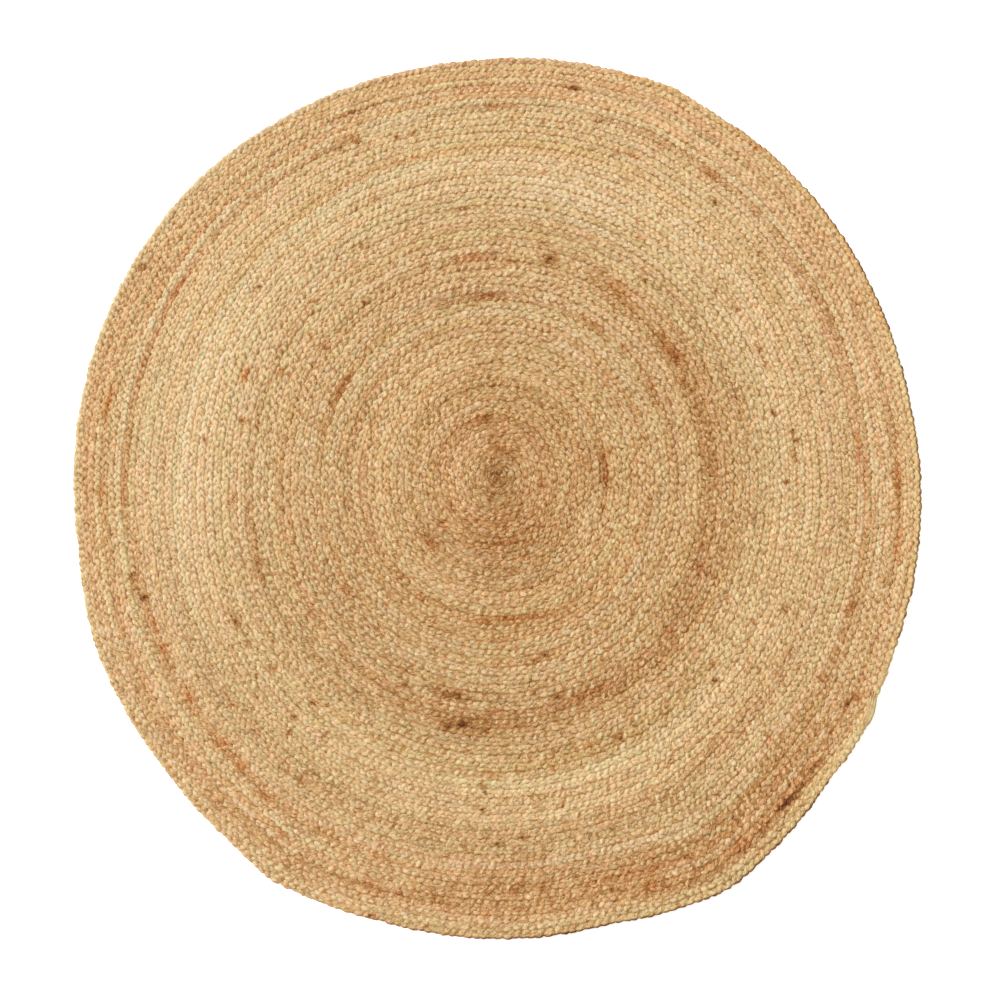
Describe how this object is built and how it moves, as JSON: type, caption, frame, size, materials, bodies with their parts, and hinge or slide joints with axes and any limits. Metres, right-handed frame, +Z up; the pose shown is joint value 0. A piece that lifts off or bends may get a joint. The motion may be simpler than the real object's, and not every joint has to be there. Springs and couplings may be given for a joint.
{
  "type": "round jute rug",
  "caption": "Flat round rug of one braid coiled from its middle and sewn edge to edge, slightly oval, lying flat on a floor.",
  "frame": {"origin": "on the floor, under the middle of the rug's bounding box", "axes": "+Z up out of the rug's top, +Y along its slightly longer side, away from the viewer in the picture, +X to the viewer's right"},
  "size_m": [1.1608, 1.226, 0.0103],
  "materials": {
    "jute_braid": "matt undyed jute, three plaited strands, golden straw with redder and paler lots of yarn along the coil"
  },
  "bodies": {
    "root": {"braided_rug": "jute_braid"}
  },
  "joints": []
}
